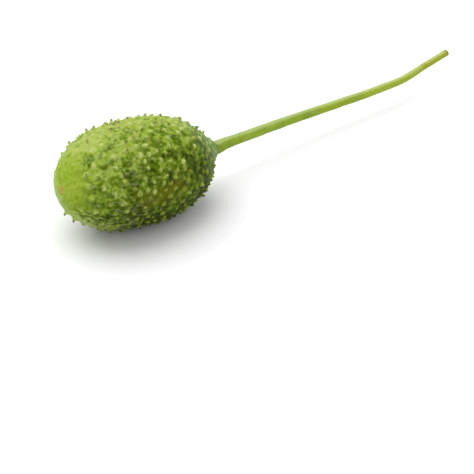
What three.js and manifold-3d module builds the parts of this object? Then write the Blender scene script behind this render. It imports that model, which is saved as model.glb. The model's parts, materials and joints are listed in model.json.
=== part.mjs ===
// A bur gherkin: one spiny, egg-shaped fruit lying on its side, as picked, with its long stem.
// Millimetres, +Z up. The origin is the centre of the small flat spot that the fruit rests on,
// and +X runs along the fruit, from its blossom end towards its stem.

import * as THREE from 'three';
import { mergeVertices } from 'three/addons/utils/BufferGeometryUtils.js';
import Module from 'manifold-3d';

const wasm = await Module();
wasm.setup();
const { smoothstep } = THREE.MathUtils;

// Fruit: sizes of the skin, without the spines.
const BLOSSOM_HALF = 26.3; // from the widest girth to the blossom end
const STEM_HALF = 25.1; // from the widest girth to the stem end
const FRUIT_RADIUS = 15.2;
const BLOSSOM_BLUNTNESS = 2.7; // 2 is an ellipse, and more is blunter
const STEM_BLUNTNESS = 2.2;
const FRUIT_TILT = THREE.MathUtils.degToRad(8.5); // the stem end lies lower
const FLAT_SPOT_DEPTH = 0.5;
const SKIN_RINGS = 24;
const SKIN_FACETS = 32;
const FINE_RINGS = 2000; // for finding the lowest point

// Neck: the skin rises towards the stem in a short cone, a little above the fruit's axis.
const NECK_RISE = 4.4;
const NECK_WIDTH = 3.6;
const NECK_Y = 0.1;
const NECK_Z = 1.5;
const SEAT_PLACE = 28.1; // along the axis, where the neck is flat and the stem grows out

// Spines: short cones that lean towards the stem. They stand apart by a gap, which is wide at
// the blossom end and narrow at the stem end.
const SPINE_TRIES = 6000;
const SPINE_GAP = 2.1;
const BLOSSOM_GAP = 3.4;
const STEM_GAP = 1.9;
const BARE_BLOSSOM_RADIUS = 8.5;
const FULL_BLOSSOM_RADIUS = 14.4;
const BARE_STEM_RADIUS = 4.2;
const FULL_STEM_RADIUS = 11;
const SPINE_HEIGHT = 0.8;
const SPINE_HEIGHT_SPREAD = 0.25;
const SPINE_RADIUS = 0.8;
const SPINE_ROOT = 0.6; // how far each cone reaches below the skin
const SPINE_SIDES = 4;
const SPINE_LEAN = 0.45;
const BLOSSOM_SPINE_SHARE = 0.3; // their height at the blossom end, as a share of the full one
const STEM_SPINE_SHARE = 0.55;

// Stem: its middle line, from beyond the neck to the cut tip, and its thickness.
const STEM_GAP_TO_SEAT = 0.3;
const STEM_STRAIGHT = 0.7; // it leaves its seat squarely
const STEM_ROUTE = [
  [26.6, 0.7, 12.1],
  [37.7, 1.8, 11],
  [51.6, 2.8, 9.8],
  [67, 3.2, 8.7],
  [82, 3.2, 7.9],
  [90.5, 3.4, 7.5],
  [99.2, 3.7, 7.4],
  [108.7, 5.2, 7.9],
  [118.5, 6, 9],
];
const STEM_FOOT_RADIUS = 2.1;
const STEM_BASE_RADIUS = 1.64;
const STEM_TIP_RADIUS = 1.02;
const STEM_FLARE_LENGTH = 11;
const STEM_RINGS = 36;
const STEM_RING_CROWDING = 1.25; // more than 1 sets the rings closer together at the foot
const STEM_SIDES = 10;

const MERGE_DISTANCE = 1e-4;
const NORMAL_STEP = 1e-3;
const UP = new THREE.Vector3(0, 1, 0);
const TOWARDS_STEM = new THREE.Vector3(1, 0, 0);

const fruitMaterial = new THREE.MeshStandardMaterial({
  color: 0x86a03a,
  roughness: 0.45,
  metalness: 0,
});
const stemMaterial = new THREE.MeshStandardMaterial({
  color: 0x9fb552,
  roughness: 0.5,
  metalness: 0,
});

// --- Helpers ---

// A closed manifold solid from a three.js geometry.
function toSolid(geometry) {
  const bare = geometry.clone();
  bare.deleteAttribute('normal');
  bare.deleteAttribute('uv');
  const merged = mergeVertices(bare, MERGE_DISTANCE);
  const corners = merged.index.array;
  const kept = [];
  for (let i = 0; i < corners.length; i += 3) {
    const [a, b, c] = [corners[i], corners[i + 1], corners[i + 2]];
    if (a !== b && b !== c && c !== a) kept.push(a, b, c);
  }
  const mesh = new wasm.Mesh({
    numProp: 3,
    vertProperties: new Float32Array(merged.attributes.position.array),
    triVerts: new Uint32Array(kept),
  });
  return new wasm.Manifold(mesh);
}

function toGeometry(solid) {
  const mesh = solid.getMesh();
  const geometry = new THREE.BufferGeometry();
  geometry.setAttribute('position', new THREE.BufferAttribute(mesh.vertProperties, 3));
  geometry.setIndex(new THREE.BufferAttribute(mesh.triVerts, 1));
  geometry.computeVertexNormals();
  return geometry;
}

// A repeatable scatter between -1 and 1.
function scatter(number, kind) {
  const wave = Math.sin(number * 12.9898 + kind * 78.233) * 43758.5453;
  return 2 * (wave - Math.floor(wave)) - 1;
}

// Numbers between 0 and 1 that fill the range evenly, one base for each direction.
function evenSpread(number, base) {
  let value = 0;
  let part = 1 / base;
  for (let rest = number; rest > 0; rest = Math.floor(rest / base)) {
    value += (rest % base) * part;
    part /= base;
  }
  return value;
}

// --- Fruit, in its own frame: X along its axis, towards the stem ---

// Radius of the skin at a share of the half length: -1 is the blossom end, 1 the stem end.
function skinRadius(share) {
  const bluntness = share > 0 ? STEM_BLUNTNESS : BLOSSOM_BLUNTNESS;
  const roundness = Math.sqrt(Math.max(1 - Math.abs(share) ** bluntness, 0));
  return FRUIT_RADIUS * roundness;
}

function neckRise(y, z) {
  const fromCentre = Math.hypot(y - NECK_Y, z - NECK_Z);
  return NECK_RISE * Math.exp(-((fromCentre / NECK_WIDTH) ** 2));
}

function skinPoint(share, angle) {
  const radius = skinRadius(share);
  const y = radius * Math.cos(angle);
  const z = radius * Math.sin(angle);
  const x = share > 0 ? share * STEM_HALF + neckRise(y, z) : share * BLOSSOM_HALF;
  return new THREE.Vector3(x, y, z);
}

function skinNormal(share, angle) {
  const ahead = skinPoint(share + NORMAL_STEP, angle).sub(skinPoint(share - NORMAL_STEP, angle));
  const around = skinPoint(share, angle + NORMAL_STEP).sub(skinPoint(share, angle - NORMAL_STEP));
  return around.cross(ahead).normalize();
}

// The lowest point of the tilted skin, which the flat spot is cut from.
function lowestPoint() {
  const lowest = new THREE.Vector3();
  for (let i = 0; i <= FINE_RINGS; i++) {
    const place = skinPoint((2 * i) / FINE_RINGS - 1, -Math.PI / 2);
    place.applyAxisAngle(UP, FRUIT_TILT);
    if (place.z < lowest.z) lowest.copy(place);
  }
  return lowest;
}

const flatSpot = lowestPoint();
const FRUIT_PLACE = new THREE.Matrix4()
  .makeTranslation(-flatSpot.x, 0, -flatSpot.z - FLAT_SPOT_DEPTH)
  .multiply(new THREE.Matrix4().makeRotationY(FRUIT_TILT));

function skin() {
  const outline = [];
  for (let i = 0; i <= SKIN_RINGS; i++) {
    const share = Math.sin(Math.PI * (i / SKIN_RINGS - 0.5));
    const half = share > 0 ? STEM_HALF : BLOSSOM_HALF;
    outline.push(new THREE.Vector2(skinRadius(share), share * half));
  }
  outline[0].x = 0;
  outline[SKIN_RINGS].x = 0;
  const geometry = new THREE.LatheGeometry(outline, SKIN_FACETS);
  geometry.rotateZ(-Math.PI / 2);
  const position = geometry.attributes.position;
  for (let i = 0; i < position.count; i++) {
    const x = position.getX(i);
    if (x > 0) position.setX(i, x + neckRise(position.getY(i), position.getZ(i)));
  }
  return toSolid(geometry);
}

function spine(foot, upright, height) {
  const cone = new THREE.ConeGeometry(SPINE_RADIUS, height + SPINE_ROOT, SPINE_SIDES, 1);
  cone.translate(0, (height - SPINE_ROOT) / 2, 0);
  const direction = upright.clone().addScaledVector(TOWARDS_STEM, SPINE_LEAN).normalize();
  cone.applyQuaternion(new THREE.Quaternion().setFromUnitVectors(UP, direction));
  cone.translate(foot.x, foot.y, foot.z);
  return toSolid(cone);
}

function spines() {
  const feet = [];
  const solids = [];
  for (let number = 1; number <= SPINE_TRIES; number++) {
    const share = 2 * evenSpread(number, 2) - 1;
    const angle = 2 * Math.PI * evenSpread(number, 3);
    const radius = skinRadius(share);
    if (radius < (share < 0 ? BARE_BLOSSOM_RADIUS : BARE_STEM_RADIUS)) continue;
    const blossomFade = smoothstep(radius, BARE_BLOSSOM_RADIUS, FULL_BLOSSOM_RADIUS);
    const stemFade = smoothstep(radius, BARE_STEM_RADIUS, FULL_STEM_RADIUS);
    const atBlossom = share < 0 ? 1 - blossomFade : 0;
    const atStem = share > 0 ? 1 - stemFade : 0;
    const gap = SPINE_GAP + (BLOSSOM_GAP - SPINE_GAP) * atBlossom + (STEM_GAP - SPINE_GAP) * atStem;
    const foot = skinPoint(share, angle);
    if (feet.some((other) => other.distanceTo(foot) < gap)) continue;
    feet.push(foot);
    let height = SPINE_HEIGHT + SPINE_HEIGHT_SPREAD * scatter(number, 1);
    height *= 1 - (1 - BLOSSOM_SPINE_SHARE) * atBlossom - (1 - STEM_SPINE_SHARE) * atStem;
    solids.push(spine(foot, skinNormal(share, angle), height));
  }
  return solids;
}

function fruit() {
  const spiny = wasm.Manifold.union([skin(), ...spines()]);

  const beyondSeat = new THREE.BoxGeometry(STEM_HALF, 2 * FRUIT_RADIUS, 2 * FRUIT_RADIUS);
  beyondSeat.translate(SEAT_PLACE + STEM_HALF / 2, 0, 0);
  const seated = toGeometry(spiny.subtract(toSolid(beyondSeat)));

  seated.applyMatrix4(FRUIT_PLACE);
  const table = new THREE.BoxGeometry(4 * STEM_HALF, 4 * STEM_HALF, FRUIT_RADIUS);
  table.translate(0, 0, -FRUIT_RADIUS / 2);
  const rested = toGeometry(toSolid(seated).subtract(toSolid(table)));
  const mesh = new THREE.Mesh(rested, fruitMaterial);
  mesh.name = 'fruit';
  return mesh;
}

// --- Stem ---

function stemRadius(along, length) {
  const taper = STEM_BASE_RADIUS + (STEM_TIP_RADIUS - STEM_BASE_RADIUS) * (along / length);
  const flare = Math.max(1 - along / STEM_FLARE_LENGTH, 0);
  return taper + (STEM_FOOT_RADIUS - STEM_BASE_RADIUS) * flare ** 2;
}

function stem() {
  const footPlace = SEAT_PLACE + STEM_GAP_TO_SEAT;
  const start = [footPlace, footPlace + STEM_STRAIGHT].map((x) =>
    new THREE.Vector3(x, NECK_Y, NECK_Z).applyMatrix4(FRUIT_PLACE));
  const beyond = STEM_ROUTE.map((point) => new THREE.Vector3(...point));
  const route = new THREE.CatmullRomCurve3([...start, ...beyond], false, 'centripetal');
  const length = route.getLength();

  // A straight lathe of the stem's thickness, bent along the route.
  const profile = [new THREE.Vector2(0, 0)];
  for (let i = 0; i <= STEM_RINGS; i++) {
    const along = length * (i / STEM_RINGS) ** STEM_RING_CROWDING;
    profile.push(new THREE.Vector2(stemRadius(along, length), along));
  }
  profile.push(new THREE.Vector2(0, length));
  const geometry = new THREE.LatheGeometry(profile, STEM_SIDES);
  const position = geometry.attributes.position;
  for (let i = 0; i < position.count; i++) {
    const share = Math.min(position.getY(i) / length, 1);
    const middle = route.getPointAt(share);
    const ahead = route.getTangentAt(share);
    const across = new THREE.Vector3().crossVectors(UP, ahead).normalize();
    const along = new THREE.Vector3().crossVectors(across, ahead);
    middle.addScaledVector(across, position.getX(i));
    middle.addScaledVector(along, position.getZ(i));
    position.setXYZ(i, middle.x, middle.y, middle.z);
  }
  const mesh = new THREE.Mesh(toGeometry(toSolid(geometry)), stemMaterial);
  mesh.name = 'stem';
  return mesh;
}

const gherkin = new THREE.Group();
gherkin.add(fruit(), stem());

export default gherkin;
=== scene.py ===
import bisect
import json
import math

import bmesh
import bpy
from mathutils import Matrix, Vector, kdtree, noise


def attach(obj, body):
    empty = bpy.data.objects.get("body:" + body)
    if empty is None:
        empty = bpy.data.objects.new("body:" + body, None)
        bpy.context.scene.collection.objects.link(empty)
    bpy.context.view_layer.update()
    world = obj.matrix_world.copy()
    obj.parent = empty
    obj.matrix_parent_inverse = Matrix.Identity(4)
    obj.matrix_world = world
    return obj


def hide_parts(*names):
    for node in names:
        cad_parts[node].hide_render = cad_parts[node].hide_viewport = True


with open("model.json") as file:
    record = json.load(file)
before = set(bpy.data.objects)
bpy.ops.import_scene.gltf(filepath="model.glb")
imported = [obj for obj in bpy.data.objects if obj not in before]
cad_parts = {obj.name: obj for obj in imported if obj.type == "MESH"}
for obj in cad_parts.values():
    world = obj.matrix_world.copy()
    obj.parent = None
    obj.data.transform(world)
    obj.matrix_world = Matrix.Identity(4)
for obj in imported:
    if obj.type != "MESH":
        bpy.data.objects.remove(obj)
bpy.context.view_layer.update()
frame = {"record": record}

# --- The view ---
# Someone looks down at the gherkin from beside its blossom end, a little above a table, through
# a long lens, so that the fruit is on the left and its stem runs away to the upper right.

MM = 0.001
VIEW_AZIMUTH = math.radians(-37.8)
VIEW_ELEVATION = math.radians(33)
VIEW_DISTANCE = 0.8
VIEW_AIM = Vector((10.6, -26.8, 0.4)) * MM
LENS = 213
SENSOR_WIDTH = 36

towards_viewer = Vector((
    math.sin(VIEW_AZIMUTH) * math.cos(VIEW_ELEVATION),
    -math.cos(VIEW_AZIMUTH) * math.cos(VIEW_ELEVATION),
    math.sin(VIEW_ELEVATION),
))
camera = bpy.data.objects.new("camera", bpy.data.cameras.new("camera"))
camera.data.lens = LENS
camera.data.sensor_width = SENSOR_WIDTH
camera.location = VIEW_AIM + towards_viewer * VIEW_DISTANCE
camera.rotation_euler = (-towards_viewer).to_track_quat("-Z", "Y").to_euler()
bpy.context.scene.collection.objects.link(camera)
bpy.context.scene.camera = camera
bpy.context.scene.view_settings.view_transform = "Standard"

# --- The fruit ---
# One grown piece: a plump, waxy skin over firm flesh, blunt at the blossom end and drawn out
# into a short neck at the stem end. It lies on a small flat spot where its weight presses it.
# Its skin swells into hundreds of low mounds, and each ends in a short soft spine.

BLOSSOM_HALF = 26.3 * MM
STEM_HALF = 25.1 * MM
FRUIT_RADIUS = 15.2 * MM
BLOSSOM_BLUNTNESS = 2.7
STEM_BLUNTNESS = 2.2
NECK_RISE = 4.4 * MM
NECK_WIDTH = 3.6 * MM
NECK_CENTRE = Vector((0.1, 1.5)) * MM
FRUIT_TILT = math.radians(8.5)
FLAT_SPOT_DEPTH = 0.5 * MM
CELLS_AROUND_QUARTER = 68
CELLS_ALONG = 132
OUTLINE_STEPS = 1200
TINY = 1e-4


def skin_radius(share):
    """The radius at a share of the half length: -1 is the blossom end and 1 the stem end."""
    bluntness = STEM_BLUNTNESS if share > 0 else BLOSSOM_BLUNTNESS
    return FRUIT_RADIUS * math.sqrt(max(1 - abs(share) ** bluntness, 0))


def skin_point(share, angle):
    radius = skin_radius(share)
    across = Vector((radius * math.cos(angle), radius * math.sin(angle)))
    if share <= 0:
        return Vector((share * BLOSSOM_HALF, *across))
    neck = NECK_RISE * math.exp(-((across - NECK_CENTRE).length / NECK_WIDTH) ** 2)
    return Vector((share * STEM_HALF + neck, *across))


# The way walked along the outline, from the blossom end to each share of the length.
shares = [math.sin(math.pi * (step / OUTLINE_STEPS - 0.5)) for step in range(OUTLINE_STEPS + 1)]
ways = [0]
for share_before, share_after in zip(shares, shares[1:]):
    half = STEM_HALF if share_after > 0 else BLOSSOM_HALF
    outwards = skin_radius(share_after) - skin_radius(share_before)
    ways.append(ways[-1] + math.hypot(outwards, (share_after - share_before) * half))
WHOLE_WAY = ways[-1]


def share_at(way):
    after = min(max(bisect.bisect_left(ways, way), 1), OUTLINE_STEPS)
    part = (way - ways[after - 1]) / (ways[after] - ways[after - 1])
    return shares[after - 1] + (shares[after] - shares[after - 1]) * min(max(part, 0), 1)


# A box with a grid on each side, which is then blown up into the fruit. Its two square ends
# become the caps, so the cells stay about as wide as they are long all over.
skin = bmesh.new()
bmesh.ops.create_cube(skin, size=2)
for axis, cells in enumerate((CELLS_ALONG, CELLS_AROUND_QUARTER, CELLS_AROUND_QUARTER)):
    lengthwise = [e for e in skin.edges if abs((e.verts[1].co - e.verts[0].co)[axis]) > TINY]
    bmesh.ops.subdivide_edges(skin, edges=lengthwise, cuts=cells - 1, use_grid_fill=True)

CAP_WAY = WHOLE_WAY * CELLS_AROUND_QUARTER / 2 / (CELLS_AROUND_QUARTER + CELLS_ALONG)
LUMP_HEIGHT = 0.28 * MM
LUMP_SIZE = 11 * MM
RIPPLE_HEIGHT = 0.07 * MM
RIPPLE_SIZE = 2.6 * MM
RIDGE_HEIGHT = 0.18 * MM
RIDGE_LENGTH = 26 * MM
RIDGES_AROUND = 3.2
RIDGE_SHIFT = Vector((7, 3, 5))
ENDWISE_SHARE = 0.3


def way_and_angle(corner):
    """The way along the outline and the angle round the axis for a point of the box."""
    out = max(abs(corner.y), abs(corner.z))
    if out < TINY:
        angle = 0
    elif abs(corner.y) >= abs(corner.z):
        angle = math.pi / 4 * corner.z / corner.y + (math.pi if corner.y < 0 else 0)
    else:
        angle = math.pi / 2 - math.pi / 4 * corner.y / corner.z
        angle += math.pi if corner.z < 0 else 0
    if corner.x < TINY - 1:
        return CAP_WAY * out, angle
    if corner.x > 1 - TINY:
        return WHOLE_WAY - CAP_WAY * out, angle
    return CAP_WAY + (WHOLE_WAY - 2 * CAP_WAY) * (corner.x + 1) / 2, angle


def grown(point, angle):
    """A smooth skin point moved in or out by lumps, ripples and faint lengthwise ridges."""
    lump = noise.noise(point / LUMP_SIZE)
    ripple = noise.noise(point / RIPPLE_SIZE)
    round_way = Vector((point.x / RIDGE_LENGTH, math.cos(angle), math.sin(angle)))
    round_way.yz *= RIDGES_AROUND
    ridge = noise.noise(round_way + RIDGE_SHIFT)
    outwards = Vector((ENDWISE_SHARE * point.x, point.y, point.z)).normalized()
    return point + outwards * (LUMP_HEIGHT * lump + RIPPLE_HEIGHT * ripple + RIDGE_HEIGHT * ridge)


for vert in skin.verts:
    way, angle = way_and_angle(vert.co)
    vert.co = grown(skin_point(share_at(way), angle), angle)
skin.normal_update()

turn_down = Matrix.Rotation(FRUIT_TILT, 3, "Y")
underside = [turn_down @ skin_point(share, -math.pi / 2) for share in shares]
lowest = min(underside, key=lambda point: point.z)
rest_point = Vector(frame["record"]["mounts"][0]["pos_m"])
FRUIT_PLACE = rest_point - Vector((lowest.x, 0, lowest.z + FLAT_SPOT_DEPTH))
to_place = Matrix.Translation(FRUIT_PLACE) @ turn_down.to_4x4()

# Where the spines stand: apart by a gap, which is wide at the blossom end and narrow at the
# stem end.
SPINE_TRIES = 6000
SPINE_GAP = 2.1 * MM
BLOSSOM_GAP = 3.4 * MM
STEM_GAP = 1.9 * MM
BARE_BLOSSOM_RADIUS = 8.5 * MM
FULL_BLOSSOM_RADIUS = 14.4 * MM
BARE_STEM_RADIUS = 4.2 * MM
FULL_STEM_RADIUS = 11 * MM
# Two lone spines stand low on the blossom end, where the skin is otherwise bare.
LONE_SPINES = (Vector((-23.7, -0.2, -7.5)) * MM, Vector((-22.1, -1.8, -9.1)) * MM)


SCATTER_STEPS = (12.9898, 78.233)
SCATTER_SIZE = 43758.5453


def scatter(number, kind):
    """A repeatable scatter between -1 and 1."""
    wave = math.sin(number * SCATTER_STEPS[0] + kind * SCATTER_STEPS[1]) * SCATTER_SIZE
    return 2 * (wave - math.floor(wave)) - 1


def chance(number, kind):
    return (scatter(number, kind) + 1) / 2


def even_spread(number, base):
    """Numbers between 0 and 1 that fill the range evenly, one base for each direction."""
    value = 0
    part = 1 / base
    while number > 0:
        value += number % base * part
        number //= base
        part /= base
    return value


def smooth_step(value, low, high):
    part = min(max((value - low) / (high - low), 0), 1)
    return part * part * (3 - 2 * part)


feet = [(number, foot, 0, 0) for number, foot in enumerate(LONE_SPINES, SPINE_TRIES + 1)]
for number in range(1, SPINE_TRIES + 1):
    share = 2 * even_spread(number, 2) - 1
    angle = 2 * math.pi * even_spread(number, 3)
    radius = skin_radius(share)
    if radius < (BARE_BLOSSOM_RADIUS if share < 0 else BARE_STEM_RADIUS):
        continue
    blossom_fade = smooth_step(radius, BARE_BLOSSOM_RADIUS, FULL_BLOSSOM_RADIUS)
    stem_fade = smooth_step(radius, BARE_STEM_RADIUS, FULL_STEM_RADIUS)
    at_blossom = 1 - blossom_fade if share < 0 else 0
    at_stem = 1 - stem_fade if share > 0 else 0
    gap = SPINE_GAP + (BLOSSOM_GAP - SPINE_GAP) * at_blossom + (STEM_GAP - SPINE_GAP) * at_stem
    foot = skin_point(share, angle)
    if any((foot - other[1]).length_squared < gap * gap for other in feet):
        continue
    feet.append((number, foot, at_blossom, at_stem))

# Each spine stands on a patch of sixteen cells round the nearest corner of the grid. Its mound
# reaches further.
MOUND_HEIGHT = 0.52 * MM
MOUND_REACH = 1.3 * MM
MOUND_SEARCH = 1.5 * MM
SPINE_LENGTH = 0.42 * MM
SPINE_HOOK = 0.22 * MM
BLOSSOM_SHRINK = 0.55
STEM_SHRINK = 0.45
SIZE_SPREAD = 0.35
SMALLEST_SIZE = 0.15
STEM_NARROWING = 0.15
REACH_SPREAD = 0.18
PALENESS = 0.7
PALENESS_SPREAD = 0.3
BLOSSOM_FADING = 0.2
CLEARANCE_USED = 0.9
# Few spines are dry on the lower side and more on the upper one. A dry spine is long, hooked and
# dark, and the others wore down to a share of their length.
DRY_LOW = 0.12
DRY_HIGH = 0.2
DRY_LENGTH = 1.3
DRY_HOOK = 1.6
DRY_DARKNESS = 0.64
DRY_SPREAD = 0.16
DRY_LEAN = 0.4
DRY_FADE = (-0.3, 0.9)
WORN_LENGTH_LOW = 0.1
WORN_LENGTH_RANGE = 0.6
WORN_HOOK = 0.6
WORN_DARKNESS = 0.1
# One spine on the lower front broke off and left a dark spot.
LOST_SPINE = Vector((-17, -12.3, -2.8)) * MM
# Rings of a spine from its foot: radius, share of its length, share of its hook and darkness.
SPINE_RINGS = (
    (0.50 * MM, 0, 0, 0.1),
    (0.40 * MM, 0.65, 0.35, 0.85),
    (0.28 * MM, 0.95, 0.8, 1),
)
LOST_RINGS = (
    (0.48 * MM, 0.3, 0, 0),
    (0.34 * MM, 0.3, 0, 0.1),
    (0.22 * MM, -0.2, 0, 0.9),
)
SCAR_RINGS = (
    (0.46 * MM, -0.3, 0, 0.75),
    (0.32 * MM, -0.3, 0, 0.8),
    (0.18 * MM, 0.1, 0, 1),
)
PATCH_CELLS = 16
PATCH_MARGIN = 0.88
INSET_STEP = 0.02 * MM
SCAR_DEPTH = 0.25 * MM
SCAR_REACH = 1.5 * MM
SCAR_STEEPNESS = 1.6
SCAR_EDGE_SHARE = 0.7

mound = skin.verts.layers.float.new("mound")
tip = skin.verts.layers.float.new("tip")
scar = skin.verts.layers.float.new("scar")
grid = list(skin.verts)
blossom_pole = min(grid, key=lambda vert: vert.co.x + vert.co.yz.length)
corners = kdtree.KDTree(len(grid))
for index, vert in enumerate(grid):
    corners.insert(vert.co, index)
corners.balance()


class Growth:
    """What one patch of the skin grows into: a spine, or the scar that the blossom left."""

    def __init__(self, centre, lean_way, rings, layer):
        self.centre = centre
        self.foot = centre.co.copy()
        self.upright = centre.normal.copy()
        self.hook_way = (lean_way - self.upright * lean_way.dot(self.upright)).normalized()
        self.side_way = self.upright.cross(self.hook_way)
        self.rings = rings
        self.layer = layer
        self.core = {vert for cell in centre.link_faces for vert in cell.verts}
        self.cells = list({cell for vert in self.core for cell in vert.link_faces})
        self.whole = {vert for cell in self.cells for vert in cell.verts}
        room = min((vert.co - self.foot).length for vert in self.whole - self.core)
        self.fit = min(room * PATCH_MARGIN / rings[0][0], 1)

    def shape(self, length, hook, darkness):
        self.length = length
        self.hook = hook
        self.darkness = darkness

    def swell(self, height, reach, paleness):
        """Sets the mound that the spine stands on."""
        self.height = height
        self.reach = reach
        self.paleness = paleness

    def place(self, ring, step):
        """Moves some corners into the round of one of the rings."""
        radius, share_length, share_hook, share_dark = self.rings[step]
        middle = self.foot + self.upright * self.length * share_length
        middle += self.hook_way * self.hook * share_hook
        for vert in ring:
            out = vert.co - self.foot
            turn = math.atan2(out.dot(self.side_way), out.dot(self.hook_way))
            spoke = self.hook_way * math.cos(turn) + self.side_way * math.sin(turn)
            spoke *= radius * self.fit
            lift, pale = swelling(self.foot + spoke)
            vert.co = middle + spoke + self.upright * lift
            vert[mound] = pale
            vert[self.layer] = share_dark * self.darkness

    def place_top(self):
        lift, pale = swelling(self.foot)
        self.centre.co = self.foot + self.upright * (lift + self.length) + self.hook_way * self.hook
        self.centre[mound] = pale
        self.centre[self.layer] = self.darkness


scar_growth = Growth(blossom_pole, Vector((0, 0, 1)), SCAR_RINGS, scar)
scar_growth.shape(SCAR_DEPTH, 0, 1)
used = set(scar_growth.whole)
spines = []
for number, foot, at_blossom, at_stem in feet:
    spine = Growth(grid[corners.find(foot)[1]], Vector((1, 0, 0)), SPINE_RINGS, tip)
    if len(spine.cells) != PATCH_CELLS or used & spine.whole:
        continue
    used |= spine.whole
    size = 1 - BLOSSOM_SHRINK * at_blossom - STEM_SHRINK * at_stem
    size *= 1 + SIZE_SPREAD * scatter(number, 1)
    downward = -(turn_down @ spine.upright).z
    if downward > 0:
        clear = (to_place @ spine.foot).z - rest_point.z
        size = min(size, CLEARANCE_USED * clear / downward / (MOUND_HEIGHT + SPINE_LENGTH))
    if size < SMALLEST_SIZE:
        continue
    reach = MOUND_REACH * (1 - STEM_NARROWING * at_stem) * (1 + REACH_SPREAD * scatter(number, 2))
    paleness = PALENESS + PALENESS_SPREAD * scatter(number, 3)
    spine.swell(MOUND_HEIGHT * size, reach, paleness * (1 - BLOSSOM_FADING * at_blossom))
    facing_up = smooth_step(spine.upright.z + DRY_LEAN * spine.upright.y, *DRY_FADE)
    if number > SPINE_TRIES or chance(number, 6) < DRY_LOW + DRY_HIGH * facing_up:
        darkness = DRY_DARKNESS + DRY_SPREAD * scatter(number, 7)
        spine.shape(DRY_LENGTH * SPINE_LENGTH * size, DRY_HOOK * SPINE_HOOK * size, darkness)
    else:
        length = WORN_LENGTH_LOW + WORN_LENGTH_RANGE * chance(number, 4)
        spine.shape(length * SPINE_LENGTH * size, WORN_HOOK * SPINE_HOOK * size, WORN_DARKNESS)
    spines.append(spine)
feet_tree = kdtree.KDTree(len(spines))
for index, spine in enumerate(spines):
    feet_tree.insert(spine.foot, index)
feet_tree.balance()
spines[feet_tree.find(LOST_SPINE)[1]].rings = LOST_RINGS


def swelling(point):
    """How far the mounds lift a point of the skin, and how pale they make it."""
    lift = pale = 0
    for foot, index, distance in feet_tree.find_range(point, MOUND_SEARCH):
        spine = spines[index]
        roundness = max(1 - (distance / spine.reach) ** 2, 0) ** 2
        lift += spine.height * roundness
        pale += spine.paleness * roundness
    return lift, min(pale, 1)


swellings = [swelling(vert.co) for vert in grid]
normals = [vert.normal.copy() for vert in grid]
for vert, upright, (lift, pale) in zip(grid, normals, swellings):
    vert.co += upright * lift
    vert[mound] = pale
    nearness = 1 - (vert.co - scar_growth.foot).length / SCAR_REACH
    if nearness > 0:
        vert[scar] = min(SCAR_STEEPNESS * nearness, 1) * SCAR_EDGE_SHARE

# The two outer rings of every patch are inset into it, and the third is its eight inner corners.
growths = [*spines, scar_growth]
all_cells = [cell for growth in growths for cell in growth.cells]
for step in (0, 1):
    bmesh.ops.inset_region(skin, faces=all_cells, thickness=INSET_STEP, use_even_offset=False)
    for growth in growths:
        around = {vert for cell in growth.cells for vert in cell.verts}
        growth.place(around - growth.core, step)
for growth in growths:
    growth.place(growth.core - {growth.centre}, 2)
    growth.place_top()

skin.transform(to_place)
for vert in skin.verts:
    vert.co.z = max(vert.co.z, rest_point.z)
bmesh.ops.recalc_face_normals(skin, faces=skin.faces)


def finished_piece(shape, name):
    mesh = bpy.data.meshes.new(name)
    shape.to_mesh(mesh)
    shape.free()
    mesh.polygons.foreach_set("use_smooth", [True] * len(mesh.polygons))
    piece = bpy.data.objects.new(name, mesh)
    bpy.context.scene.collection.objects.link(piece)
    return piece


fruit = finished_piece(skin, "gherkin_fruit")

# The rind's finish: waxy and satin, yellow-green at the blossom end and mottled deep green
# elsewhere, with pale mounds and dark dry tips. Painted shade deepens the green low in front and
# pales the top, a painted sheen greys the stem end, and a painted reflection pales the blossom
# end's lower rim.


def srgb(red, green, blue):
    values = [value / 255 for value in (red, green, blue)]
    linear = [v / 12.92 if v <= 0.04045 else ((v + 0.055) / 1.055) ** 2.4 for v in values]
    return (*linear, 1)


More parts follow.
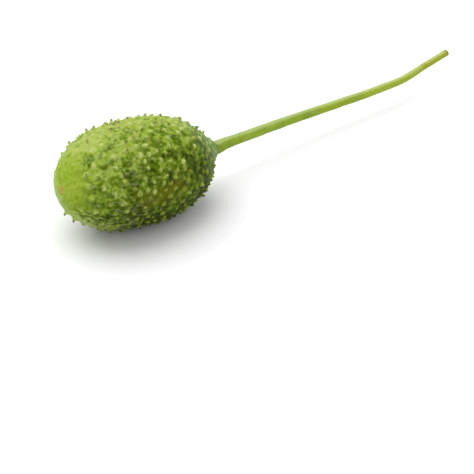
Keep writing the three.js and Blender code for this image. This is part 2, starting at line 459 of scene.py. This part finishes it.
class Nodes:
    """A material's node tree, with one call for each kind of node that the finishes need."""

    def __init__(self, name):
        self.material = bpy.data.materials.new(name)
        self.material.use_nodes = True
        self.tree = self.material.node_tree
        self.tree.nodes.clear()
        self.shader = self.tree.nodes.new("ShaderNodeBsdfPrincipled")
        self.output = self.tree.nodes.new("ShaderNodeOutputMaterial")
        self.tree.links.new(self.shader.outputs["BSDF"], self.output.inputs["Surface"])

    def put(self, socket, value):
        if isinstance(value, bpy.types.NodeSocket):
            self.tree.links.new(value, socket)
        else:
            socket.default_value = value

    def attribute(self, name):
        node = self.tree.nodes.new("ShaderNodeAttribute")
        node.attribute_name = name
        return node.outputs["Fac"]

    def place(self, origin=(0, 0, 0), turn=(0, 0, 0), size=(1, 1, 1)):
        """Object coordinates about an origin, turned and divided by a size."""
        coordinates = self.tree.nodes.new("ShaderNodeTexCoord")
        mapping = self.tree.nodes.new("ShaderNodeMapping")
        mapping.vector_type = "TEXTURE"
        mapping.inputs["Location"].default_value = origin
        mapping.inputs["Rotation"].default_value = turn
        mapping.inputs["Scale"].default_value = size
        self.tree.links.new(coordinates.outputs["Object"], mapping.inputs["Vector"])
        return mapping.outputs["Vector"]

    def noise(self, vector, scale, detail, roughness=0.55):
        node = self.tree.nodes.new("ShaderNodeTexNoise")
        self.put(node.inputs["Vector"], vector)
        node.inputs["Scale"].default_value = scale
        node.inputs["Detail"].default_value = detail
        node.inputs["Roughness"].default_value = roughness
        return node.outputs["Fac"]

    def math(self, operation, first, second):
        node = self.tree.nodes.new("ShaderNodeMath")
        node.operation = operation
        self.put(node.inputs[0], first)
        self.put(node.inputs[1], second)
        return node.outputs[0]

    def fade(self, value, low, high, out_low=0.0, out_high=1.0):
        node = self.tree.nodes.new("ShaderNodeMapRange")
        node.interpolation_type = "SMOOTHSTEP"
        self.put(node.inputs["Value"], value)
        node.inputs["From Min"].default_value = low
        node.inputs["From Max"].default_value = high
        node.inputs["To Min"].default_value = out_low
        node.inputs["To Max"].default_value = out_high
        return node.outputs["Result"]

    def mix(self, share, first, second):
        node = self.tree.nodes.new("ShaderNodeMix")
        node.data_type = "RGBA"
        self.put(node.inputs["Factor"], share)
        self.put(node.inputs["A"], first)
        self.put(node.inputs["B"], second)
        return node.outputs["Result"]

    def length(self, vector):
        node = self.tree.nodes.new("ShaderNodeVectorMath")
        node.operation = "LENGTH"
        self.put(node.inputs[0], vector)
        return node.outputs["Value"]

    def unit(self, vector):
        node = self.tree.nodes.new("ShaderNodeVectorMath")
        node.operation = "NORMALIZE"
        self.put(node.inputs[0], vector)
        return node.outputs["Vector"]

    def along(self, vector, axis):
        node = self.tree.nodes.new("ShaderNodeSeparateXYZ")
        self.put(node.inputs["Vector"], vector)
        return node.outputs[axis]

    def bump(self, height, strength, distance, below=None):
        node = self.tree.nodes.new("ShaderNodeBump")
        node.inputs["Strength"].default_value = strength
        node.inputs["Distance"].default_value = distance
        self.put(node.inputs["Height"], height)
        if below is not None:
            self.put(node.inputs["Normal"], below)
        return node.outputs["Normal"]


BLOSSOM_GREEN = srgb(122, 150, 10)
BLOSSOM_PALE = srgb(160, 184, 66)
BLOSSOM_DEEP = srgb(88, 116, 4)
REFLECTION_PALE = srgb(158, 178, 88)
PALEST_GREEN = srgb(155, 170, 80)
PALE_GREEN = srgb(134, 156, 50)
MIDDLE_GREEN = srgb(84, 108, 4)
DEEP_GREEN = srgb(46, 58, 0)
SHEEN_GREEN = srgb(123, 148, 90)
OCHRE = srgb(94, 96, 2)
MOUND_GREEN = srgb(186, 197, 116)
MOUND_OLIVE = srgb(132, 148, 46)
MOUND_SHEEN = srgb(164, 184, 126)
DARK_TIP = srgb(60, 62, 16)
BROWN_TIP = srgb(88, 74, 22)
SCAR_BROWN = srgb(176, 146, 72)
STREAK_WHITE = srgb(176, 186, 124)

SUN_SPOT = Vector((-2, -15, 0)) * MM
SUN_REACH = (17 * MM, 9 * MM, 6 * MM)
FRUIT_TURN = (0, FRUIT_TILT, 0)
# Each mottle's size, detail and strength, and the sizes of the finer patterns.
MOTTLES = ((9 * MM, 2, 0.18), (3 * MM, 3, 0.38), (1.2 * MM, 3, 0.34))
DRIFT_SIZE = 4 * MM
RAY_SIZE = 3 * MM
FLECK_SIZE = 0.8 * MM
STREAK_SIZE = (7 * MM, 0.9 * MM, 0.9 * MM)
WARMTH_SIZE = 5 * MM
SPECKLE_SIZE = 0.7 * MM
PATCHY_SIZE = 2.5 * MM
PORE_SIZE = 0.35 * MM
PORE_DEPTH = 0.05 * MM
STREAK_DEPTH = 0.15 * MM
RIND_ROUGHNESS = (0.42, 0.56)
RIND_GLOSS = 0.05

rind = Nodes("fruit_rind")
fruit_frame = rind.place(FRUIT_PLACE, FRUIT_TURN)
along = rind.math("DIVIDE", rind.along(fruit_frame, "X"), BLOSSOM_HALF)
sideways = rind.math("DIVIDE", rind.along(fruit_frame, "Y"), FRUIT_RADIUS)
upwards = rind.math("DIVIDE", rind.along(fruit_frame, "Z"), FRUIT_RADIUS)
# How deep the green is: least at the blossom end and on the upper back, most low in front.
# The mottles and the change along the fruit are the skin's own colour; the darkening low and in
# front, with the paler top, is painted shade.
deepness_and_shade = rind.math("MULTIPLY", upwards, -0.6)
deepness_and_shade = rind.math("ADD", deepness_and_shade, rind.fade(sideways, -0.5, 0.2, 0.27, -0.1))
deepness_and_shade = rind.math("ADD", deepness_and_shade, rind.fade(along, -1.0, 0, 0.22, 0.66))
deepness_and_shade = rind.math("ADD", deepness_and_shade, rind.fade(along, 0.1, 0.7, 0, 0.08))
drift = rind.noise(fruit_frame, 1 / DRIFT_SIZE, 2)
for size, detail, strength in MOTTLES:
    mottle = rind.noise(fruit_frame, 1 / size, detail, 0.6)
    deepness_and_shade = rind.math("ADD", deepness_and_shade, rind.fade(mottle, 0.3, 0.7, -strength, strength))
palest = rind.mix(rind.fade(deepness_and_shade, -0.6, 0.1), PALEST_GREEN, PALE_GREEN)
green = rind.mix(rind.fade(deepness_and_shade, 0, 0.55), palest, MIDDLE_GREEN)
green = rind.mix(rind.fade(deepness_and_shade, 0.55, 1.1), green, DEEP_GREEN)
round_axis = rind.unit(rind.place(FRUIT_PLACE, FRUIT_TURN, (1, 1 * MM, 1 * MM)))
rays = rind.math("ADD", rind.noise(round_axis, 4, 3, 0.6), rind.noise(fruit_frame, 1 / RAY_SIZE, 3))
blossom = rind.mix(rind.fade(rays, 0.85, 1.2, 0, 0.8), BLOSSOM_GREEN, BLOSSOM_PALE)
flecks = rind.noise(fruit_frame, 1 / FLECK_SIZE, 3, 0.6)
blossom = rind.mix(rind.fade(flecks, 0.5, 0.66, 0, 0.7), blossom, BLOSSOM_PALE)
blossom = rind.mix(rind.fade(flecks, 0.5, 0.3, 0, 0.4), blossom, BLOSSOM_DEEP)
blossom_share = rind.fade(along, -0.99, -0.8, 0.85, 0)
blossom_share = rind.math("MULTIPLY", blossom_share, rind.fade(upwards, -0.6, 0.1, 0.35, 1))
green = rind.mix(blossom_share, green, blossom)
streak_frame = rind.place(FRUIT_PLACE, FRUIT_TURN, STREAK_SIZE)
streaks = rind.noise(streak_frame, 1, 3)
# Painted reflection: the blossom end is paler along its lower and far rim, standing in for the
# white table's light reflected there.
painted_rim_reflection = rind.math("MULTIPLY", sideways, 0.6)
painted_rim_reflection = rind.math("ADD", painted_rim_reflection, rind.math("MULTIPLY", upwards, -0.75))
painted_rim_reflection = rind.math("ADD", painted_rim_reflection, rind.fade(drift, 0.3, 0.7, -0.1, 0.1))
painted_rim_reflection = rind.math("ADD", painted_rim_reflection, rind.fade(streaks, 0.35, 0.65, -0.12, 0.12))
far_side = rind.fade(painted_rim_reflection, 0.34, 0.66, 0.8, 0.35)
painted_rim_reflection = rind.math("MULTIPLY", rind.fade(painted_rim_reflection, -0.05, 0.26), far_side)
painted_rim_reflection = rind.math("MULTIPLY", painted_rim_reflection, rind.fade(along, -0.25, -0.75))
green = rind.mix(painted_rim_reflection, green, REFLECTION_PALE)
streaked = rind.fade(along, -0.95, -0.8, 0, 0.35)
streaked = rind.math("MULTIPLY", streaked, rind.fade(along, -0.5, 0, 1, 0.15))
streaked = rind.math("MULTIPLY", streaked, rind.fade(streaks, 0.45, 0.75))
green = rind.mix(streaked, green, STREAK_WHITE)
# A warm tinge on the sunny side, below the middle.
sun_place = rind.place(to_place @ SUN_SPOT, FRUIT_TURN, SUN_REACH)
warmth = rind.fade(rind.length(sun_place), 0.3, 1, 0.25, -0.3)
warmth = rind.math("ADD", warmth, rind.noise(fruit_frame, 1 / WARMTH_SIZE, 3))
green = rind.mix(rind.fade(warmth, 0.45, 0.85, 0, 0.7), green, OCHRE)
# Painted sheen: towards the stem end, and more on its upper side, the green is greyed and paled as
# if it reflected white light.
painted_sheen = rind.math("ADD", along, rind.math("MULTIPLY", upwards, 0.3))
painted_sheen = rind.fade(painted_sheen, 0.6, 1.1, 0, 0.7)
green = rind.mix(painted_sheen, green, SHEEN_GREEN)
speckle = rind.fade(rind.noise(fruit_frame, 1 / SPECKLE_SIZE, 2), 0.3, 0.7, -0.17, 0.17)
pale = rind.fade(rind.math("ADD", rind.attribute("mound"), speckle), 0.1, 0.85)
patchy = rind.fade(rind.noise(fruit_frame, 1 / PATCHY_SIZE, 2), 0.3, 0.6, 0.6, 1.0)
pale = rind.math("MULTIPLY", pale, patchy)
# The mounds carry the same painted shade: olive where the green is deepest low in front.
mound_colour = rind.mix(rind.fade(deepness_and_shade, 0.3, 1.0), MOUND_GREEN, MOUND_OLIVE)
mound_colour = rind.mix(painted_sheen, mound_colour, MOUND_SHEEN)
green = rind.mix(pale, green, mound_colour)
tip_colour = rind.mix(rind.fade(drift, 0.45, 0.6), DARK_TIP, BROWN_TIP)
green = rind.mix(rind.attribute("tip"), green, tip_colour)
scarred = rind.attribute("scar")
green = rind.mix(rind.fade(scarred, 0, 0.7), green, SCAR_BROWN)
green = rind.mix(rind.fade(scarred, 0.8, 1.0, 0, 0.5), green, BROWN_TIP)
rind.put(rind.shader.inputs["Base Color"], green)
pores = rind.noise(fruit_frame, 1 / PORE_SIZE, 3)
rind.put(rind.shader.inputs["Roughness"], rind.fade(pores, 0.3, 0.7, *RIND_ROUGHNESS))
relief = rind.bump(pores, 0.25, PORE_DEPTH)
relief = rind.bump(streaks, 0.2, STREAK_DEPTH, relief)
rind.put(rind.shader.inputs["Normal"], relief)
rind.shader.inputs["Specular IOR Level"].default_value = RIND_GLOSS
fruit.data.materials.append(rind.material)

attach(fruit, "root")
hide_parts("fruit")

# --- The stem ---
# The long stalk that the fruit hung from, tough green fibre under a thin ribbed skin: it flares
# where it grows out of the neck, sinks a little towards the table without touching it, and rises
# again to its cut tip.

# The middle of the stem past the neck, in millimetres.
STEM_ROUTE = (
    (26.6, 0.7, 12.1),
    (37.7, 1.8, 11),
    (51.6, 2.8, 9.8),
    (67, 3.2, 8.7),
    (82, 3.2, 7.9),
    (90.5, 3.4, 7.5),
    (99.2, 3.7, 7.4),
    (108.7, 5.2, 7.9),
    (118.5, 6, 9),
)
STEM_SIDES = 30
STEM_STEPS = 180
SPAN_PARTS = 40
STEM_FOOT_RADIUS = 2.1 * MM
STEM_BASE_RADIUS = 1.64 * MM
STEM_TIP_RADIUS = 1.02 * MM
STEM_FLARE_LENGTH = 11 * MM
STEM_ROOT_PLACE = 27.8 * MM
STEM_STRAIGHT_PLACE = 29 * MM
STEM_RIBS = 5
STEM_FINE_RIBS = 9
RIB_DEPTH = 0.035
FLARED_RIB_DEPTH = 0.05
FINE_RIB_DEPTH = 0.02
KNOB_DEPTH = 0.05
KNOB_LENGTH = 3 * MM
CUT_RIM = 0.12 * MM
CUT_PITH = 0.2 * MM
CUT_DEPTH = 0.12 * MM
AIMING_STEP = 0.5 * MM

# One smooth line through all the points, straight out of the neck at first.
roots = [Vector((place, *NECK_CENTRE)) for place in (STEM_ROOT_PLACE, STEM_STRAIGHT_PLACE)]
route = [to_place @ point for point in roots] + [Vector(point) * MM for point in STEM_ROUTE]
ends = [2 * route[0] - route[1], *route, 2 * route[-1] - route[-2]]
middle_line = []
for before, start, end, after in zip(ends, ends[1:], ends[2:], ends[3:]):
    knots = [0]
    for first, second in ((before, start), (start, end), (end, after)):
        knots.append(knots[-1] + math.sqrt((second - first).length))
    for part in range(SPAN_PARTS):
        t = knots[1] + (knots[2] - knots[1]) * part / SPAN_PARTS
        a1 = before.lerp(start, (t - knots[0]) / (knots[1] - knots[0]))
        a2 = start.lerp(end, (t - knots[1]) / (knots[2] - knots[1]))
        a3 = end.lerp(after, (t - knots[2]) / (knots[3] - knots[2]))
        b1 = a1.lerp(a2, (t - knots[0]) / (knots[2] - knots[0]))
        b2 = a2.lerp(a3, (t - knots[1]) / (knots[3] - knots[1]))
        middle_line.append(b1.lerp(b2, (t - knots[1]) / (knots[2] - knots[1])))
middle_line.append(route[-1])
stem_ways = [0]
for first, second in zip(middle_line, middle_line[1:]):
    stem_ways.append(stem_ways[-1] + (second - first).length)
STEM_LENGTH = stem_ways[-1]


def stem_point(way):
    after = min(max(bisect.bisect_left(stem_ways, way), 1), len(stem_ways) - 1)
    part = (way - stem_ways[after - 1]) / (stem_ways[after] - stem_ways[after - 1])
    return middle_line[after - 1].lerp(middle_line[after], min(max(part, 0), 1))


def stem_radius(way):
    taper = STEM_BASE_RADIUS + (STEM_TIP_RADIUS - STEM_BASE_RADIUS) * way / STEM_LENGTH
    flare = max(1 - way / STEM_FLARE_LENGTH, 0)
    return taper + (STEM_FOOT_RADIUS - STEM_BASE_RADIUS) * flare ** 2


stalk = bmesh.new()
bmesh.ops.create_circle(stalk, cap_ends=False, segments=STEM_SIDES, radius=1)
stem_way = stalk.verts.layers.float.new("way")
stem_rib = stalk.verts.layers.float.new("rib")
stem_upper = stalk.verts.layers.float.new("upper")
rim = list(stalk.edges)
foot_ring = list(stalk.verts)
side_of = {vert: side for side, vert in enumerate(foot_ring)}


def set_ring(ring, way):
    ahead = (stem_point(way + AIMING_STEP) - stem_point(way - AIMING_STEP)).normalized()
    across = Vector((0, 1, 0)).cross(ahead).normalized()
    upwards = across.cross(ahead)
    flare = max(1 - way / STEM_FLARE_LENGTH, 0)
    for vert in ring:
        angle = 2 * math.pi * side_of[vert] / STEM_SIDES
        ribs = (RIB_DEPTH + FLARED_RIB_DEPTH * flare) * math.cos(STEM_RIBS * angle)
        ribs += FINE_RIB_DEPTH * math.cos(STEM_FINE_RIBS * angle + 1)
        spot = Vector((way / KNOB_LENGTH, math.cos(angle), math.sin(angle)))
        radius = stem_radius(way) * (1 + ribs + KNOB_DEPTH * noise.noise(spot))
        spoke = across * math.cos(angle) + upwards * math.sin(angle)
        vert.co = stem_point(way) + spoke * radius
        vert[stem_way] = way / STEM_LENGTH
        vert[stem_rib] = 0.5 + 0.5 * math.cos(STEM_RIBS * angle)
        vert[stem_upper] = 0.5 + 0.5 * spoke.z


set_ring(foot_ring, 0)
for step in range(1, STEM_STEPS + 1):
    grown_on = bmesh.ops.extrude_edge_only(stalk, edges=rim)["geom"]
    rim = [part for part in grown_on if isinstance(part, bmesh.types.BMEdge)]
    ring = [part for part in grown_on if isinstance(part, bmesh.types.BMVert)]
    for vert in ring:
        below = [e.other_vert(vert) for e in vert.link_edges if e not in rim]
        side_of[vert] = side_of[below[0]]
    set_ring(ring, STEM_LENGTH * step / STEM_STEPS)


def corner_order(part):
    corners = [vert.index for vert in part.verts]
    return max(corners) * len(stalk.verts) + min(corners)


# Extruding leaves edges and faces in an order that changes from run to run, so they are sorted.
stalk.verts.index_update()
foot_edges = [e for e in stalk.edges if e.is_boundary and e not in rim]
bmesh.ops.contextual_create(stalk, geom=sorted(foot_edges, key=corner_order))
cut = bmesh.ops.contextual_create(stalk, geom=sorted(rim, key=corner_order))["faces"]
for width, depth in ((CUT_RIM, 0), (CUT_PITH, CUT_DEPTH)):
    bmesh.ops.inset_region(stalk, faces=cut, thickness=width, depth=depth, use_even_offset=False)
bmesh.ops.recalc_face_normals(stalk, faces=stalk.faces)
stalk.verts.index_update()
stalk.faces.sort(key=corner_order)
stem = finished_piece(stalk, "gherkin_stem")

STEM_GREEN = srgb(140, 162, 32)
STEM_DEEP = srgb(116, 140, 18)
STEM_SHADY = srgb(80, 98, 8)
STEM_PALE = srgb(176, 187, 134)
STEM_FAR = srgb(150, 166, 38)
STEM_OLIVE = srgb(142, 140, 14)
STEM_CUT = srgb(122, 112, 44)

FIBRE_SIZE = (8 * MM, 0.4 * MM, 0.4 * MM)
FIBRE_TURN = (0, math.radians(3), math.radians(2))
FIBRE_DEPTH = 0.08 * MM
BLOTCH_SIZE = 7 * MM
STEM_ROUGHNESS = (0.42, 0.58)
STEM_GLOSS = 0.12

stalk_skin = Nodes("stem_skin")
stem_frame = stalk_skin.place()
fibre_frame = stalk_skin.place((0, 0, 0), FIBRE_TURN, FIBRE_SIZE)
fibres = stalk_skin.noise(fibre_frame, 1, 3)
shade = stalk_skin.noise(stem_frame, 1 / BLOTCH_SIZE, 3)
way_along = stalk_skin.attribute("way")
upper_side = stalk_skin.attribute("upper")
rib_side = stalk_skin.attribute("rib")
fresh = stalk_skin.mix(stalk_skin.fade(shade, 0.35, 0.65), STEM_GREEN, STEM_DEEP)
fresh = stalk_skin.mix(stalk_skin.fade(way_along, 0.3, 0.9), fresh, STEM_FAR)
fresh = stalk_skin.mix(stalk_skin.fade(way_along, 0.1, 0.02, 0, 0.7), fresh, STEM_DEEP)
# Painted shade darkens the stem's lower side and a painted highlight pales its top edge.
fresh = stalk_skin.mix(stalk_skin.fade(upper_side, 0.42, 0.08, 0, 0.9), fresh, STEM_SHADY)
fresh = stalk_skin.mix(stalk_skin.fade(upper_side, 0.88, 1.0, 0, 0.45), fresh, STEM_PALE)
fresh = stalk_skin.mix(stalk_skin.fade(rib_side, 0.6, 1.0, 0, 0.15), fresh, STEM_PALE)
fresh = stalk_skin.mix(stalk_skin.fade(fibres, 0.45, 0.75, 0, 0.3), fresh, STEM_PALE)
fresh = stalk_skin.mix(stalk_skin.fade(fibres, 0.45, 0.25, 0, 0.5), fresh, STEM_DEEP)
# The far part is drier: olive blotches, and an olive cut.
dryness = stalk_skin.math("ADD", stalk_skin.fade(way_along, 0.7, 1.0, -0.3, 0.15), shade)
fresh = stalk_skin.mix(stalk_skin.fade(dryness, 0.45, 0.65, 0, 0.6), fresh, STEM_OLIVE)
fresh = stalk_skin.mix(stalk_skin.fade(way_along, 0.985, 1.0, 0, 0.7), fresh, STEM_CUT)
stalk_skin.put(stalk_skin.shader.inputs["Base Color"], fresh)
satin = stalk_skin.fade(fibres, 0.3, 0.7, *STEM_ROUGHNESS)
stalk_skin.put(stalk_skin.shader.inputs["Roughness"], satin)
stalk_skin.put(stalk_skin.shader.inputs["Normal"], stalk_skin.bump(fibres, 0.5, FIBRE_DEPTH))
stalk_skin.shader.inputs["Specular IOR Level"].default_value = STEM_GLOSS
stem.data.materials.append(stalk_skin.material)

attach(stem, "root")
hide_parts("stem")

# --- The table and the light ---
# A plain white table that runs on to a bright horizon, with a broad soft light overhead,
# a little behind and to the left.

TABLE_SIZE = 12.0
TABLE_WHITE = srgb(238, 238, 239)
TABLE_GREY = srgb(232, 232, 233)
GRAIN_SIZE = 0.6 * MM
TABLE_ROUGHNESS = 0.8
TABLE_GLOSS = 0.2

surface = bmesh.new()
bmesh.ops.create_grid(surface, x_segments=4, y_segments=4, size=TABLE_SIZE)
table_mesh = bpy.data.meshes.new("table")
surface.to_mesh(table_mesh)
surface.free()
table = bpy.data.objects.new("table", table_mesh)
bpy.context.scene.collection.objects.link(table)
white = Nodes("white_table")
grain = white.noise(white.place(), 1 / GRAIN_SIZE, 2)
paint = white.mix(grain, TABLE_GREY, TABLE_WHITE)
white.put(white.shader.inputs["Base Color"], paint)
white.shader.inputs["Roughness"].default_value = TABLE_ROUGHNESS
white.shader.inputs["Specular IOR Level"].default_value = TABLE_GLOSS
table.data.materials.append(white.material)

ROOM_LOW = 1.0
ROOM_HIGH = 0.85
HORIZON_HEIGHT = 0.3
world = bpy.data.worlds.new("room")
world.use_nodes = True
room = world.node_tree
background = room.nodes["Background"]
gaze = room.nodes.new("ShaderNodeTexCoord")
heights = room.nodes.new("ShaderNodeSeparateXYZ")
dimming = room.nodes.new("ShaderNodeMapRange")
dimming.interpolation_type = "SMOOTHSTEP"
dimming.inputs["From Max"].default_value = HORIZON_HEIGHT
dimming.inputs["To Min"].default_value = ROOM_LOW
dimming.inputs["To Max"].default_value = ROOM_HIGH
room.links.new(gaze.outputs["Generated"], heights.inputs["Vector"])
room.links.new(heights.outputs["Z"], dimming.inputs["Value"])
room.links.new(dimming.outputs["Result"], background.inputs["Strength"])
background.inputs["Color"].default_value = (1, 1, 1, 1)
bpy.context.scene.world = world

SOFTBOX_FROM = Vector((-0.06, 0.45, 1))
SOFTBOX_SPREAD = math.radians(70)
SOFTBOX_STRENGTH = 2.1
softbox = bpy.data.lights.new("softbox", "SUN")
softbox.angle = SOFTBOX_SPREAD
softbox.energy = SOFTBOX_STRENGTH
fixture = bpy.data.objects.new("softbox", softbox)
fixture.rotation_euler = (-SOFTBOX_FROM).to_track_quat("-Z", "Y").to_euler()
bpy.context.scene.collection.objects.link(fixture)
